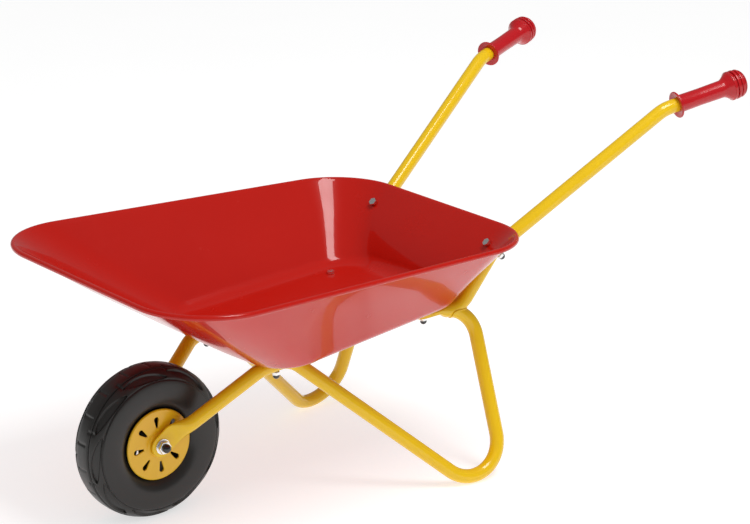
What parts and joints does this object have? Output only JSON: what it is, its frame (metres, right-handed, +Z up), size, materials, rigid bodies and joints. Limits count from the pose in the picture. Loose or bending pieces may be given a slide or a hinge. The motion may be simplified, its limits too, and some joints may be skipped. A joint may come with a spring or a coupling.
{
  "type": "wheelbarrow",
  "caption": "Small steel wheelbarrow: a pressed tray with a rolled rim on bent tube legs and handles, moulded grips, and a hollow plastic wheel that turns on a through axle.",
  "frame": {"origin": "bottom centre of the bounding box, on the ground under the middle of the barrow", "axes": "+X from the wheel to the handles, +Y across to the pusher's right hand, +Z up"},
  "size_m": [0.7856, 0.399, 0.4245],
  "materials": {
    "tray_paint": "very glossy powder-coated red sheet steel",
    "frame_paint": "glossy powder-coated golden yellow steel tube",
    "tyre_plastic": "semi-gloss blow-moulded black plastic",
    "hub_plastic": "glossy moulded yellow",
    "bush_plastic": "glossy moulded yellow",
    "grip_plastic": "glossy moulded red vinyl",
    "zinc": "bright zinc-plated",
    "black_caps": "glossy black cap"
  },
  "bodies": {
    "frame": {"tray": "tray_paint", "left_fork_leg": "frame_paint", "right_fork_leg": "frame_paint", "left_handle": "frame_paint", "right_handle": "frame_paint", "fork_floor_bolts": "zinc", "fork_floor_nuts": "zinc", "fork_floor_caps": "black_caps", "rear_floor_bolts": "zinc", "rear_floor_nuts": "zinc", "rear_floor_caps": "black_caps", "rear_wall_bolts": "zinc", "rear_wall_nuts": "zinc", "rear_wall_caps": "black_caps", "axle": "zinc", "inner_axle_washers": "zinc", "outer_axle_washers": "zinc", "axle_nuts": "zinc", "axle_caps": "black_caps", "left_grip": "grip_plastic", "right_grip": "grip_plastic"},
    "wheel": {"tyre": "tyre_plastic", "left_hub_disc": "hub_plastic", "right_hub_disc": "hub_plastic", "hub_sleeve": "hub_plastic", "left_bush": "bush_plastic", "right_bush": "bush_plastic"}
  },
  "joints": [
    {"name": "wheel_spin", "type": "hinge", "parent": "frame", "child": "wheel", "pos_m": [-0.30779, 0, 0.085], "axis": [0, 1, 0], "continuous": true}
  ]
}
